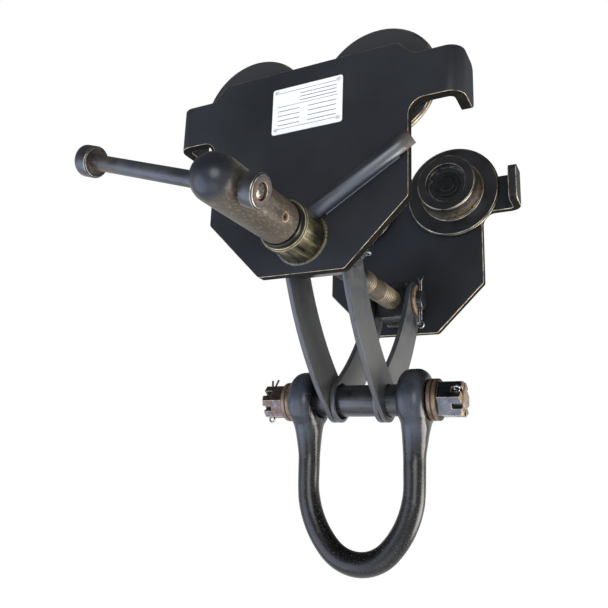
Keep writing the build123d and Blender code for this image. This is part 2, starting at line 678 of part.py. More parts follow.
wheel_set = {
    "wheel": wheel(),
    "outer_race": outer_race(),
    "inner_race": inner_race(),
    "circlip": circlip(),
    "axle": axle(),
    "axle_washer": axle_washer(),
}
for name, shape in wheel_set.items():
    for side, hand, opposite in ((-1, "left", "right"), (1, "right", "left")):
        placed = along_y(shape, side * WHEEL_X, inner_y, wheel_z)
        pieces["front_" + hand + "_" + name] = placed
        pieces["rear_" + opposite + "_" + name] = FAR_SIDE * placed

pieces["spindle"] = spindle()
pieces["spindle_collar"] = collar()
pieces["handle_hub"] = hub()
pieces["hub_pin"] = hub_pin()
pieces["tommy_bar"] = tommy_bar()
pieces["tommy_bar_caps"] = Compound([bar_cap(cap_start), bar_cap(bar_far - CAP_RECESS)])

pieces["front_left_link"] = link(-front_link_x, PIVOT_CLEARANCE)
pieces["front_right_link"] = link(front_link_x, PIVOT_CLEARANCE)
pieces["rear_left_link"] = FAR_SIDE * link(rear_link_x, OPEN_EYE_CLEARANCE)
pieces["rear_right_link"] = FAR_SIDE * link(-rear_link_x, OPEN_EYE_CLEARANCE)

pieces["shackle_bow"] = bow()
pieces["shackle_bolt"] = shackle_bolt()
pieces["bolt_washers"] = Compound(bolt_washers())
right_nut = castle_nut()
pieces["castle_nuts"] = Compound([right_nut, mirror(right_nut, Plane.YZ)])
pieces["nut_cotters"] = Compound(nut_cotters())

os.makedirs("parts", exist_ok=True)
for name, shape in pieces.items():
    export_step(shape, "parts/" + name + ".step")
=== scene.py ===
import math

import bmesh
import bpy
from mathutils import Matrix, Vector, noise


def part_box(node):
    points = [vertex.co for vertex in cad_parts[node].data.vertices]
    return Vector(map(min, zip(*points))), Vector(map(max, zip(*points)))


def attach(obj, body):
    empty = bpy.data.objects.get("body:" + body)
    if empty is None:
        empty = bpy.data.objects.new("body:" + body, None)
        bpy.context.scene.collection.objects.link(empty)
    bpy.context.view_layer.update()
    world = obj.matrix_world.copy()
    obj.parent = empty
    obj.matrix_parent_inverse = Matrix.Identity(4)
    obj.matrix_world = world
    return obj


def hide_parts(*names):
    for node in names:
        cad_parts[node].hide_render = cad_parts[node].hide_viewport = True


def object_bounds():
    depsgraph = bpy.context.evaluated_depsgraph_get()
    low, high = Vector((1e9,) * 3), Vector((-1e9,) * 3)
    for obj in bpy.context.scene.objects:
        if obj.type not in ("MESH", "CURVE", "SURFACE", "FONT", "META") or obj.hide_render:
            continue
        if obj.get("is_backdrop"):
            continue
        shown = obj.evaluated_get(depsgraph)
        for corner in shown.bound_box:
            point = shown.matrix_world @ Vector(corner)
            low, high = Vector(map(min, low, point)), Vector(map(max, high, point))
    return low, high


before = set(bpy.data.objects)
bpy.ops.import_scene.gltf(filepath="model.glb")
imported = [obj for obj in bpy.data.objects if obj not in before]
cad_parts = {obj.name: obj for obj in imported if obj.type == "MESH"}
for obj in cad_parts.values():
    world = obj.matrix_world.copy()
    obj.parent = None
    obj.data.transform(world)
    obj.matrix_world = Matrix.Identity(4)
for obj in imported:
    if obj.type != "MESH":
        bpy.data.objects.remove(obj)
cad_low, cad_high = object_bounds()
bpy.context.scene.view_settings.view_transform = "Standard"

# Side plates. Two 8 mm steel plates, cut to outline, with the ends of the arms bent inwards
# on a press. They are sprayed black after welding; their pale corners are partly rubbed steel
# and partly a painted highlight.
MM = 0.001
bend_x = 109 * MM


def srgb(code):
    """An sRGB hex colour as the linear values that a colour socket takes."""
    parts = [int(code[i:i + 2], 16) / 255 for i in (1, 3, 5)]
    return [c / 12.92 if c <= 0.04045 else ((c + 0.055) / 1.055) ** 2.4 for c in parts] + [1.0]


def add(owner, kind, inputs, output=0, **settings):
    """Adds a node with its settings, sets or links its inputs, and returns one of its outputs."""
    tree = getattr(owner, "node_tree", owner)
    made = tree.nodes.new(kind if "Node" in kind else "ShaderNode" + kind)
    for name, value in settings.items():
        setattr(made, name, value)
    for name, value in inputs.items():
        if isinstance(value, bpy.types.NodeSocket):
            tree.links.new(value, made.inputs[name])
        else:
            made.inputs[name].default_value = value
    return made.outputs[output]


def finish(name, dark, light, patch, rough, grain, relief, **sockets):
    """A finish in cloudy patches of two colours and roughnesses, with a fine grain in relief."""
    made = bpy.data.materials.new(name)
    made.use_nodes = True
    shader = made.node_tree.nodes["Principled BSDF"]
    for socket, value in sockets.items():
        shader.inputs[socket.replace("_", " ")].default_value = value
    place = add(made, "TexCoord", {}, "Object")
    cloud = add(made, "TexNoise", {"Vector": place, "Scale": 1 / patch, "Detail": 5})
    # The real grain is often finer than this: it is drawn as coarse as it needs to show.
    fine = add(made, "TexNoise", {"Vector": place, "Scale": 1 / grain, "Detail": 3})
    paler = add(made, "MapRange", {"Value": cloud, "From Min": 0.3, "From Max": 0.7})
    colour = add(made, "Mix", {0: paler, 6: srgb(dark), 7: srgb(light)}, 2, data_type="RGBA")
    duller = add(made, "MapRange", {"Value": paler, "To Min": rough[0], "To Max": rough[1]})
    bump = add(made, "Bump", {"Strength": 1.0, "Distance": relief, "Height": fine})
    for result, socket in ((colour, "Base Color"), (duller, "Roughness"), (bump, "Normal")):
        made.node_tree.links.new(result, shader.inputs[socket])
    return made


def mask_by(owner, coordinate, axis, start, end, mirrored=False, most=1.0):
    """A mask that rises from start to end along an axis of the place on a piece, or its normal."""
    value = add(owner, "SeparateXYZ", {0: add(owner, "TexCoord", {}, coordinate)}, axis)
    if mirrored:
        value = add(owner, "Math", {0: value}, operation="ABSOLUTE")
    return add(owner, "MapRange", {
        "Value": value, "From Min": start, "From Max": end, "To Max": most})


def patches(material, size, detail, start, end, length=None):
    """A mask of cloudy patches of a size, stretched along Y if a length is given."""
    place = add(material, "Mapping", {
        "Vector": add(material, "TexCoord", {}, "Object"),
        "Scale": [1 / size, 1 / (length or size), 1 / size]})
    cloud = add(material, "TexNoise", {"Vector": place, "Scale": 1.0, "Detail": detail})
    return add(material, "MapRange", {"Value": cloud, "From Min": start, "From Max": end})


def overlay(material, colour, rough, *masks):
    """Lays another colour and roughness over the finish, where all the masks are 1."""
    mask = masks[0]
    for further in masks[1:]:
        mask = add(material, "Math", {0: mask, 1: further}, operation="MULTIPLY")
    shader = material.node_tree.nodes["Principled BSDF"]
    under = shader.inputs["Base Color"].links[0].from_socket
    dull = shader.inputs["Roughness"].links[0].from_socket
    over = add(material, "Mix", {0: mask, 6: under, 7: srgb(colour)}, 2, data_type="RGBA")
    duller = add(material, "Mix", {0: mask, 2: dull, 3: rough}, data_type="FLOAT")
    material.node_tree.links.new(over, shader.inputs["Base Color"])
    material.node_tree.links.new(duller, shader.inputs["Roughness"])


def break_edges(piece, edge, width, segments=2):
    """Rounds a piece's sharp edges, as a file, the paint or wear does, and gives them a finish."""
    piece.data.materials.append(edge)
    broken = piece.modifiers.new("broken_edges", "BEVEL")
    broken.width = width
    broken.segments = segments
    broken.limit_method = "ANGLE"
    broken.angle_limit = math.radians(35)
    broken.harden_normals = True
    broken.material = 1


def dress(names, material, edge=None, width=0.5 * MM, segments=2):
    """Gives CAD pieces their finish, and their broken edges another one where it differs."""
    for name in names:
        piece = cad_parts[name]
        piece.data.materials.clear()
        piece.data.materials.append(material)
        corners = piece.modifiers.new("joined_corners", "WELD")
        corners.merge_threshold = 0.001 * MM
        # Each flat face becomes one face, because slivers in it would hold the rounding back.
        faces = piece.modifiers.new("whole_faces", "DECIMATE")
        faces.decimate_type = "DISSOLVE"
        faces.angle_limit = math.radians(0.5)
        break_edges(piece, edge or material, width, segments)


# Black enamel sprayed on steel: satin, nearly black, with a faint orange-peel. The cut edges
# are matt and near black, and brown primer shows in patches of them.
black_enamel = finish(
    "sprayed_black_enamel", "#202225", "#2b2d31", 70 * MM, (0.4, 0.5), 1.5 * MM, 0.012 * MM,
    Specular_IOR_Level=0.14)
edgewise = mask_by(black_enamel, "Normal", "Y", 0.5, 0.2, mirrored=True)
level = mask_by(black_enamel, "Normal", "Z", 0.6, 0.8, mirrored=True)
unbent = mask_by(black_enamel, "Object", "X", bend_x - 4 * MM, bend_x - 6 * MM, mirrored=True)
not_bend = add(black_enamel, "Math", {0: level, 1: unbent}, operation="MAXIMUM")
overlay(black_enamel, "#050505", 1.0, edgewise, not_bend)
primer = patches(black_enamel, 8 * MM, 6, 0.54, 0.68)
overlay(black_enamel, "#0f0d0b", 1.0, primer, edgewise, not_bend)
underside = mask_by(black_enamel, "Normal", "Z", -0.3, -0.6)
flakes = patches(black_enamel, 8 * MM, 6, 0.46, 0.68)
overlay(black_enamel, "#14110e", 1.0, flakes, underside)

# Steel corner rubbed through the enamel, and partly a painted highlight from below: pale brown,
# dull, broken up by what paint is left. Corners that face up on the plates and bosses are kept
# mostly black as painted shade.
lit_and_rubbed_edge = finish(
    "rubbed_edge_painted_highlight", "#3a352d", "#c4b69c", 7 * MM, (0.35, 0.6), 1 * MM, 0.02 * MM,
    Metallic=0.4)
# Painted shade: corners that face up, above the links, are kept dark, as the light comes from
# below.
above_links = mask_by(lit_and_rubbed_edge, "Object", "Z", -150 * MM, -140 * MM)
facing_up = mask_by(lit_and_rubbed_edge, "Normal", "Z", 0.2, 0.5, most=0.85)
overlay(lit_and_rubbed_edge, "#26282c", 0.5, above_links, facing_up)
dress(["front_side_plate", "rear_side_plate"], black_enamel, lit_and_rubbed_edge, 0.7 * MM)

# Guide bosses and stiffening bars. Each boss is a length of thick tube welded round the spindle
# hole; the bars are 12 mm round bar, butted on the front boss and welded along the plate.
plate_edge = 82 * MM

# Glossy enamel on the bosses: olive grey, with brassy and black streaks along the tube that are
# painted reflections.
boss_enamel = finish(
    "boss_enamel_painted_reflections", "#3a382c", "#5c5845", 14 * MM, (0.4, 0.5), 2 * MM, 0.02 * MM,
    Metallic=0.8)
tube_side = mask_by(boss_enamel, "Normal", "Y", 0.6, 0.4, mirrored=True)
# Painted reflections: pale brassy glints and dark streaks on the sides of the tube.
for start, end, colour, rough in ((0.52, 0.72, "#a3996f", 0.36), (0.46, 0.34, "#1d1c18", 0.3)):
    reflection_streaks = patches(boss_enamel, 3 * MM, 6, start, end, length=20 * MM)
    overlay(boss_enamel, colour, rough, reflection_streaks, tube_side)
dress(["front_guide_boss", "rear_guide_boss"], boss_enamel, lit_and_rubbed_edge, 0.25 * MM)

# Satin enamel on round bar: black, with a soft light along it. The weld's heat has browned the
# ends, and the lower side is painted blue-grey as a highlight.
bar_enamel = finish(
    "satin_black_bar_enamel", "#14171c", "#1f242b", 20 * MM, (0.26, 0.34), 1.5 * MM, 0.012 * MM,
    Specular_IOR_Level=0.75)
heated = mask_by(bar_enamel, "Object", "X", plate_edge - 10 * MM, plate_edge, mirrored=True)
overlay(bar_enamel, "#261f1a", 0.7, heated, patches(bar_enamel, 3 * MM, 5, 0.2, 0.5))
# Painted highlight: a blue-grey band on the lower side of each bar, short of the browned ends.
painted_highlight_below = mask_by(bar_enamel, "Normal", "Z", 0.02, -0.12, most=0.9)
unheated = mask_by(bar_enamel, "Object", "X", plate_edge, plate_edge - 6 * MM, mirrored=True)
overlay(bar_enamel, "#333944", 0.42, painted_highlight_below, unheated)
dress(["left_stiffening_bar", "right_stiffening_bar"], bar_enamel, width=0.5 * MM)


def put(name, mesh, material, body, slot, *nodes):
    """Makes a finished mesh a piece of the trolley, in place of any CAD nodes named."""
    bmesh.ops.recalc_face_normals(mesh, faces=mesh.faces)
    data = bpy.data.meshes.new(name)
    mesh.to_mesh(data)
    mesh.free()
    data.polygons.foreach_set("use_smooth", [True] * len(data.polygons))
    data.materials.append(material)
    made = bpy.data.objects.new(name, data)
    bpy.context.scene.collection.objects.link(made)
    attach(made, body)
    if nodes:
        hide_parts(*nodes)
    return made


def swept(mesh, points, across, widths, depths, closed=False, around=10):
    """A bar of oval section on a flat path: half-widths in its plane, half-depths across it."""
    loops = []
    count = len(points)
    for i, point in enumerate(points):
        before = points[i - 1] if closed or i else point
        after = points[(i + 1) % count] if closed or i < count - 1 else point
        beside = (after - before).cross(across).normalized()
        loop = []
        for k in range(around):
            turn = 2 * math.pi * k / around
            side = beside * widths[i] * math.cos(turn) + across * depths[i] * math.sin(turn)
            loop.append(mesh.verts.new(point + side))
        loops.append(loop)
    following = loops[1:] + loops[:1] if closed else loops[1:]
    for first, second in zip(loops, following):
        for k in range(around):
            n = (k + 1) % around
            mesh.faces.new((first[k], first[n], second[n], second[k]))
    if not closed:
        mesh.faces.new(loops[0])
        mesh.faces.new(loops[-1])


def bead(mesh, corners, across, size, closed=False):
    """A run of weld: one puddle after another, none quite like the last."""
    puddle = 2.6 * MM
    step = puddle / 4
    points = []
    ends = corners[1:] + corners[:1] if closed else corners[1:]
    for start, end in zip(corners, ends):
        pieces = max(1, round((end - start).length / step))
        points += [start.lerp(end, k / pieces) for k in range(pieces)]
    if not closed:
        points.append(corners[-1])
    widths = []
    for i, point in enumerate(points):
        crest = abs(math.sin(math.pi * i * step / puddle))
        widths.append(size * (0.82 + 0.14 * crest + 0.12 * noise.noise(point / (4 * MM))))
    swept(mesh, points, across, widths, [w * 0.8 for w in widths], closed)


def ring(middle, radius, steps=96):
    """Points round a circle about the Y axis."""
    turns = [2 * math.pi * k / steps for k in range(steps)]
    return [middle + Vector((radius * math.cos(t), 0, radius * math.sin(t))) for t in turns]


along_y = Vector((0, 1, 0))
axis_z = (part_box("spindle_collar")[0].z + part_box("spindle_collar")[1].z) / 2
boss_low, boss_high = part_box("front_guide_boss")
boss_radius = (boss_high.x - boss_low.x) / 2

# Weld metal, painted over: glossy black hollows, with brown where the crests have lost their paint.
weld_enamel = finish("painted_weld", "#121311", "#4d4836", 6 * MM, (0.22, 0.4), 0.8 * MM, 0.03 * MM)
for end, y in (("front", boss_high.y), ("rear", -boss_high.y)):
    mesh = bmesh.new()
    bead(mesh, ring(Vector((0, y, axis_z)), boss_radius + 0.8 * MM), along_y, 2.2 * MM, closed=True)
    put(end + "_boss_weld", mesh, weld_enamel, end + "_side", "black_paint")

bar_slope = math.radians(32)
bar_root_z = axis_z + 6.6 * MM / math.cos(bar_slope)
bar_weld_start = boss_radius + 1 * MM
bar_weld_end = 87 * MM
bar_weld_lift = 4.6 * MM
for hand, side in (("left", -1), ("right", 1)):
    run = Vector((side * math.cos(bar_slope), 0, math.sin(bar_slope)))
    above = Vector((-side * math.sin(bar_slope), 0, math.cos(bar_slope)))
    root = Vector((0, boss_high.y - 1 * MM, bar_root_z))
    mesh = bmesh.new()
    for lift in (-bar_weld_lift, bar_weld_lift):
        ends = [root + above * lift + run * place for place in (bar_weld_start, bar_weld_end)]
        bead(mesh, ends, along_y, 1.3 * MM)
    put(hand + "_bar_weld", mesh, bar_enamel, "front_side", "black_paint")

# Nut blocks. Square steel blocks welded inside each plate, threaded for the spindle,
# with a turned trunnion on each side for the links.
block_half_height = 17 * MM
block_welds = (
    ("front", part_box("front_nut_block")[0].y, 21.2 * MM),
    ("rear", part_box("rear_nut_block")[1].y, 16.5 * MM),
)

# Black paint brushed on: thick and glossy, with the marks of the brush.
block_enamel = finish(
    "brushed_on_black", "#101215", "#1f2124", 9 * MM, (0.2, 0.34), 1.5 * MM, 0.03 * MM)
dress(["front_nut_block", "rear_nut_block"], block_enamel, lit_and_rubbed_edge)
for end, y, half_width in block_welds:
    corners = [(-half_width, -block_half_height), (half_width, -block_half_height),
               (half_width, block_half_height), (-half_width, block_half_height)]
    mesh = bmesh.new()
    bead(mesh, [Vector((x, y, axis_z + z)) for x, z in corners], along_y, 2.6 * MM, closed=True)
    put(end + "_block_weld", mesh, weld_enamel, end + "_side", "black_paint")

# Nameplate. A small sheet of white-enamelled tin, riveted at its corners, with blank fields
# ruled on it in grey ink.
plate_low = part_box("nameplate")[0]
ink_y = plate_low.y - 0.02 * MM
ink_thickness = 0.01 * MM
# Left end, height, right end and thickness of each line, in millimetres from the lower left corner.
rules = [(4, 4, 56, 0.35), (4, 35, 56, 0.35), (4, 23, 56, 0.35)]
rules += [(5, 7 + 4.0 * row, 24, 0.5) for row in range(4)]
rules += [(31, 7 + 4.0 * row, 55, 0.5) for row in range(4)]
rules += [(24, 25.5 + 3.0 * row, 55, 0.5) for row in range(3)]

# Stoved enamel on tin: clean white, smooth, with a soft gloss.
white_tin = finish(
    "white_enamelled_tin", "#e7e7e4", "#f1f1ee", 25 * MM, (0.35, 0.5), 1 * MM, 0.004 * MM)
dress(["nameplate"], white_tin, width=0.1 * MM)

# Printing ink: thin, flat, dark grey lines.
grey_ink = finish(
    "grey_printing_ink", "#3d3e41", "#585a5d", 3 * MM, (0.5, 0.6), 0.5 * MM, 0.002 * MM)
mesh = bmesh.new()
for left, bottom, right, height in rules:
    corners = [(left, bottom), (right, bottom), (right, bottom + height), (left, bottom + height)]
    corners = [(plate_low.x + x * MM, ink_y, plate_low.z + z * MM) for x, z in corners]
    mesh.faces.new([mesh.verts.new(c) for c in corners])
bmesh.ops.solidify(mesh, geom=mesh.faces[:], thickness=ink_thickness)
put("nameplate_ruling", mesh, grey_ink, "front_side", "white_plate")

# Soft aluminium, set with a hammer: pale, slightly dull heads.
soft_aluminium = finish(
    "soft_aluminium_rivet", "#c6c7c8", "#e4e4e3", 2 * MM, (0.35, 0.5), 0.5 * MM, 0.004 * MM,
    Metallic=0.5)
dress(["nameplate_rivets"], soft_aluminium, width=0.3 * MM, segments=3)

# Wheels. Cast iron with a wide flange, painted black and turned on the tread; each runs on a
# shielded ball bearing, held by a circlip, on a stub axle riveted over a washer.
wheels = [end + "_" + hand for end in ("front", "rear") for hand in ("left", "right")]
wheel_low, wheel_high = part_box("rear_right_wheel")
wheel_x = (wheel_low.x + wheel_high.x) / 2
wheel_z = (wheel_low.z + wheel_high.z) / 2
flange_radius = (wheel_high.z - wheel_low.z) / 2
face_radius = 28 * MM
back_y = wheel_high.y
flange_y = back_y - 5.5 * MM


def from_line(material, middle, run):
    """The distance of a place on the piece from a line."""
    place = add(material, "TexCoord", {}, "Object")
    arm = add(material, "VectorMath", {0: place, 1: middle}, operation="SUBTRACT")
    arm = add(material, "VectorMath", {0: arm, 1: run}, operation="CROSS_PRODUCT")
    return add(material, "VectorMath", {0: arm}, "Value", operation="LENGTH")


# Painted cast iron: glossy black over a fine grain. The beam has worn the treads to brown iron;
# the front wheels, which take the load first, have brown rims; the backs of the flanges are grey.
wheel_iron = finish(
    "painted_cast_iron", "#101113", "#1d1f21", 20 * MM, (0.22, 0.34), 1.2 * MM, 0.02 * MM)
radius = add(wheel_iron, "Math", {
    0: from_line(wheel_iron, Vector((-wheel_x, 0, wheel_z)), along_y),
    1: from_line(wheel_iron, Vector((wheel_x, 0, wheel_z)), along_y)}, operation="MINIMUM")
off_face = add(wheel_iron, "MapRange", {
    "Value": radius, "From Min": face_radius - 0.4 * MM, "From Max": face_radius + 0.4 * MM})
off_flange = mask_by(
    wheel_iron, "Object", "Y", flange_y - 0.1 * MM, flange_y - 0.5 * MM, mirrored=True)
near_flange = mask_by(wheel_iron, "Object", "Y", 86 * MM, 97 * MM, mirrored=True)
rolled = patches(wheel_iron, 5 * MM, 6, 0.35, 0.6)
overlay(wheel_iron, "#544737", 0.36, rolled, near_flange, off_flange, off_face)
front = mask_by(wheel_iron, "Object", "Y", 1 * MM, -1 * MM)
on_rim = add(wheel_iron, "MapRange", {
    "Value": radius, "From Min": flange_radius - 1.3 * MM, "From Max": flange_radius - 0.6 * MM})
overlay(wheel_iron, "#85745a", 0.45, front, on_rim, patches(wheel_iron, 5 * MM, 6, 0.3, 0.6))
backs = mask_by(wheel_iron, "Object", "Y", back_y - 0.9 * MM, back_y - 0.3 * MM, mirrored=True)
overlay(wheel_iron, "#282a2c", 0.45, backs)

# Iron corners of the flange and tread, burnished by the beam: bright metal, broken up by painted
# shade.
burnished_and_shaded_corner = finish(
    "worn_corner_painted_shade", "#1c1b19", "#a19684", 12 * MM, (0.22, 0.4), 0.6 * MM, 0.008 * MM,
    Metallic=0.9)
dress([w + "_wheel" for w in wheels], wheel_iron, burnished_and_shaded_corner, 0.5 * MM)

# Blacked steel under oil: deep black with a wet gleam.
black_steel = finish(
    "oiled_black_steel", "#131416", "#26272a", 8 * MM, (0.25, 0.4), 0.8 * MM, 0.01 * MM,
    Metallic=0.6)
# Rubber-faced bearing shield: plain black with a soft gloss.
bearing_seal = finish(
    "black_bearing_seal", "#101112", "#1c1d1e", 6 * MM, (0.3, 0.45), 0.6 * MM, 0.006 * MM)
# Phosphated spring steel: dark grey that glints where the circlip curves.
spring_steel = finish(
    "phosphated_spring_steel", "#3d3e42", "#85878a", 4 * MM, (0.2, 0.32), 0.5 * MM, 0.006 * MM,
    Metallic=0.9)
axle_fixings = (("axle", black_steel), ("axle_washer", black_steel), ("circlip", spring_steel))
for piece, steel in axle_fixings:
    dress([w + "_" + piece for w in wheels], steel, width=0.3 * MM)
dress([w + "_outer_race" for w in wheels], bearing_seal, burnished_and_shaded_corner, 0.4 * MM)
dress([w + "_inner_race" for w in wheels], black_steel, burnished_and_shaded_corner, 0.5 * MM)

# Spindle. One turned steel screw with a left-hand thread at one end and a right-hand thread at
# the other, so that turning it draws both plates to the middle. Its tail is pinned in the hub.
spindle_low, spindle_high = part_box("spindle")
spindle_middle = (spindle_low + spindle_high) / 2
screw_radius = (spindle_high.x - spindle_low.x) / 2
neck_radius = 9 * MM
neck_start = 9 * MM
neck_end = 35 * MM
tail_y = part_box("handle_hub")[1].y
point_chamfer = 1 * MM
thread_pitch = 4 * MM
thread_depth = 0.8 * MM
sides = 36

# Turned steel under old oil: brown-grey, dark in the bottom of the thread, and near black towards
# the front end.
screw_steel = finish(
    "oiled_screw_steel", "#6c6252", "#867a67", 9 * MM, (0.4, 0.5), 0.4 * MM, 0.006 * MM,
    Metallic=0.4)
thread_bottom = add(screw_steel, "MapRange", {
    "Value": from_line(screw_steel, spindle_middle, along_y),
    "From Min": 9.7 * MM, "From Max": 9.3 * MM})
overlay(screw_steel, "#4a4136", 0.5, thread_bottom)
overlay(screw_steel, "#1b1916", 0.4, mask_by(screw_steel, "Object", "Y", 6 * MM, -14 * MM))


def screw_size(y, turn):
    """The spindle's radius at a place: plain tail, two threads of opposite hand, plain neck."""
    if y < tail_y or neck_start < y < neck_end:
        return neck_radius
    if y > spindle_high.y - point_chamfer:
        return screw_radius - thread_depth - (y - spindle_high.y + point_chamfer)
    hand = 1 if y > neck_start else -1
    wave = 1.8 * math.sin(2 * math.pi * y / thread_pitch + hand * turn)
    return screw_radius - thread_depth * (0.5 - 0.5 * max(-1, min(1, wave)))


mesh = bmesh.new()
step = thread_pitch / 12
stations = [spindle_low.y, tail_y - 0.1 * MM, tail_y + 0.1 * MM]
stations += [tail_y + k * step for k in range(1, int((neck_start - tail_y) / step))]
stations += [neck_start - 0.1 * MM, neck_start + 1 * MM, neck_end - 1 * MM, neck_end + 0.1 * MM]
stations += [neck_end + k * step for k in range(1, int((spindle_high.y - neck_end) / step))]
stations += [spindle_high.y]
rows = []
for y in stations:
    row = []
    for turn in [2 * math.pi * k / sides for k in range(sides)]:
        size = screw_size(y, turn)
        row.append(mesh.verts.new((size * math.cos(turn), y, axis_z + size * math.sin(turn))))
    rows.append(row)
for first, second in zip(rows, rows[1:]):
    for k in range(sides):
        n = (k + 1) % sides
        mesh.faces.new((first[k], first[n], second[n], second[k]))
mesh.faces.new(rows[0])
mesh.faces.new(rows[-1])
put("cut_spindle", mesh, screw_steel, "spindle", "worn_steel", "spindle")

# Collar, hub and cross pin. The hub is a turned steel bar with a domed end, pinned on the
# spindle's tail with a hollow spring pin; a loose collar takes the thrust against the boss.
hub_low, hub_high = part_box("handle_hub")
hub_radius = (hub_high.x - hub_low.x) / 2
dome_y = hub_low.y + hub_radius
bar_tilt = math.radians(18)
bar_run = Vector((math.cos(bar_tilt), 0, -math.sin(bar_tilt)))
pin_low, pin_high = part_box("hub_pin")
pin_middle = (pin_low + pin_high) / 2

# Turned steel, browned by handling: dull brown with pale and dark scuffs along the bar. The dome
# keeps the blue-black of the forge and a few bright knocks; the pin's hole has a bruised rim.
hub_steel = finish(
    "turned_hub_steel", "#3a342d", "#4b443b", 22 * MM, (0.46, 0.54), 1 * MM, 0.006 * MM,
    Metallic=0.3, Specular_IOR_Level=0.3)
scuff_width, scuff_length = 1.1 * MM, 4 * MM
overlay(hub_steel, "#73695c", 0.5, patches(hub_steel, scuff_width, 7, 0.52, 0.78, scuff_length))
overlay(hub_steel, "#3d372f", 0.55, patches(hub_steel, scuff_width, 7, 0.42, 0.28, scuff_length))
dome = mask_by(hub_steel, "Object", "Y", dome_y + 1 * MM, dome_y - 8 * MM)
overlay(hub_steel, "#25282e", 0.3, dome)
overlay(hub_steel, "#77787a", 0.4, patches(hub_steel, scuff_width, 7, 0.7, 0.8, scuff_length), dome)
hole_rim = add(hub_steel, "MapRange", {
    "Value": from_line(hub_steel, pin_middle, bar_run), "From Min": 4.2 * MM, "From Max": 3.8 * MM})
overlay(hub_steel, "#7d6d57", 0.4, hole_rim)
dress(["handle_hub"], hub_steel, lit_and_rubbed_edge, 0.4 * MM)
dress(["spindle_collar"], black_steel, width=0.3 * MM)

# Rolled spring steel: a bright rim round a dark brown middle, painted shade for the pin's hollow.
spring_pin = finish(
    "rolled_spring_pin", "#75664f", "#a59478", 2 * MM, (0.3, 0.4), 0.4 * MM, 0.004 * MM,
    Metallic=0.6)
bore = add(spring_pin, "MapRange", {
    "Value": from_line(spring_pin, pin_middle, bar_run),
    "From Min": 2.9 * MM, "From Max": 2.5 * MM})
overlay(spring_pin, "#3a2a1f", 0.6, bore)
dress(["hub_pin"], spring_pin, width=0.2 * MM)

# Tommy bar. A round bar that slides through the hub, with a turned cap welded on each end
# so that it cannot fall out.
bar_y = (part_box("tommy_bar")[0].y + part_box("tommy_bar")[1].y) / 2
bar_middle = Vector((0, bar_y, axis_z))
cap_floors = (-122.7 * MM, 25.3 * MM)
button_radius = 5.3 * MM
button_rise = 1.1 * MM
button_rings, button_sides = 7, 28

# Drawn steel bar, blacked: dull dark grey, with brown rust in patches near its far end.
bar_steel = finish(
    "dull_black_bar", "#2b2e34", "#484a4f", 12 * MM, (0.35, 0.5), 1 * MM, 0.012 * MM, Metallic=0.4)
far_end = mask_by(bar_steel, "Object", "X", -80 * MM, -112 * MM)
overlay(bar_steel, "#655341", 0.6, patches(bar_steel, 4 * MM, 6, 0.42, 0.62), far_end)
dress(["tommy_bar"], bar_steel, width=0.4 * MM)

# Turned and blacked steel: dark grey with a low sheen, browned round the bar by the weld.
cap_steel = finish(
    "blacked_cap_steel", "#2c2e32", "#48494c", 8 * MM, (0.3, 0.42), 0.8 * MM, 0.01 * MM,
    Metallic=0.6)
recess = add(cap_steel, "MapRange", {
    "Value": from_line(cap_steel, bar_middle, bar_run), "From Min": 9 * MM, "From Max": 6 * MM})
overlay(cap_steel, "#5d4635", 0.55, patches(cap_steel, 3 * MM, 5, 0.3, 0.55), recess)
# Steel rim polished by the hand: a thin bright line.
cap_edge = finish(
    "polished_cap_edge", "#55524d", "#9c978e", 4 * MM, (0.2, 0.35), 0.5 * MM, 0.005 * MM,
    Metallic=0.8)
dress(["tommy_bar_caps"], cap_steel, cap_edge, 0.3 * MM)

# Bare weld metal in the recess of each cap: a bright, uneven button with black slag in its hollows.
weld_steel = finish(
    "bright_weld_metal", "#1a1816", "#7a766f", 1.6 * MM, (0.15, 0.3), 0.7 * MM, 0.08 * MM,
    Metallic=0.9)
mesh = bmesh.new()
upward = bar_run.cross(along_y)
for floor in cap_floors:
    out = 1 if floor > 0 else -1
    rows = []
    for k in range(button_rings):
        bend = math.pi / 2 * k / button_rings
        reach = button_radius * math.cos(bend)
        row = []
        for j in range(button_sides):
            turn = 2 * math.pi * j / button_sides
            side = along_y * math.cos(turn) + upward * math.sin(turn)
            lump = noise.noise(Vector((7 * reach, out, 0)) / (5 * MM) + side * reach / (1.6 * MM))
            rise = 0.3 * MM + button_rise * math.sin(bend) + 0.35 * MM * lump * (k > 0)
            row.append(mesh.verts.new(bar_middle + bar_run * (floor + out * rise) + side * reach))
        rows.append(row)
    for first, second in zip(rows, rows[1:]):
        for j in range(button_sides):
            n = (j + 1) % button_sides
            mesh.faces.new((first[j], first[n], second[n], second[j]))
    mesh.faces.new(rows[-1])
    mesh.faces.new(rows[0])
put("cap_welds", mesh, weld_steel, "tommy_bar", "worn_steel")

# Links. Curved flat bars, flame cut and painted, two from each nut block to the shackle bolt.
# A washer and a split pin hold them on each trunnion.
links = [w + "_link" for w in wheels]
trunnion_y = 84.5 * MM
pin_wire = 1.6 * MM
trunnion_eye = 3.2 * MM
front_pin_reach = 12 * MM
rear_pin_reach = 21 * MM

# Satin paint on hot-rolled bar: dark grey, painted paler towards the shackle as light from below.
link_paint = finish(
    "satin_link_paint", "#212429", "#3d3f41", 9 * MM, (0.34, 0.48), 1 * MM, 0.02 * MM)
painted_light_below = mask_by(link_paint, "Object", "Z", -115 * MM, -185 * MM, most=0.55)
overlay(link_paint, "#4d4c4a", 0.45, painted_light_below)
# Flame-cut edge: a blue-grey line along the bar, its blue a painted reflection.
link_edge_and_sheen = finish(
    "link_edge_painted_sheen", "#252a32", "#424a57", 10 * MM, (0.3, 0.42), 1 * MM, 0.012 * MM,
    Metallic=0.3)
dress(links, link_paint, link_edge_and_sheen, 0.7 * MM)

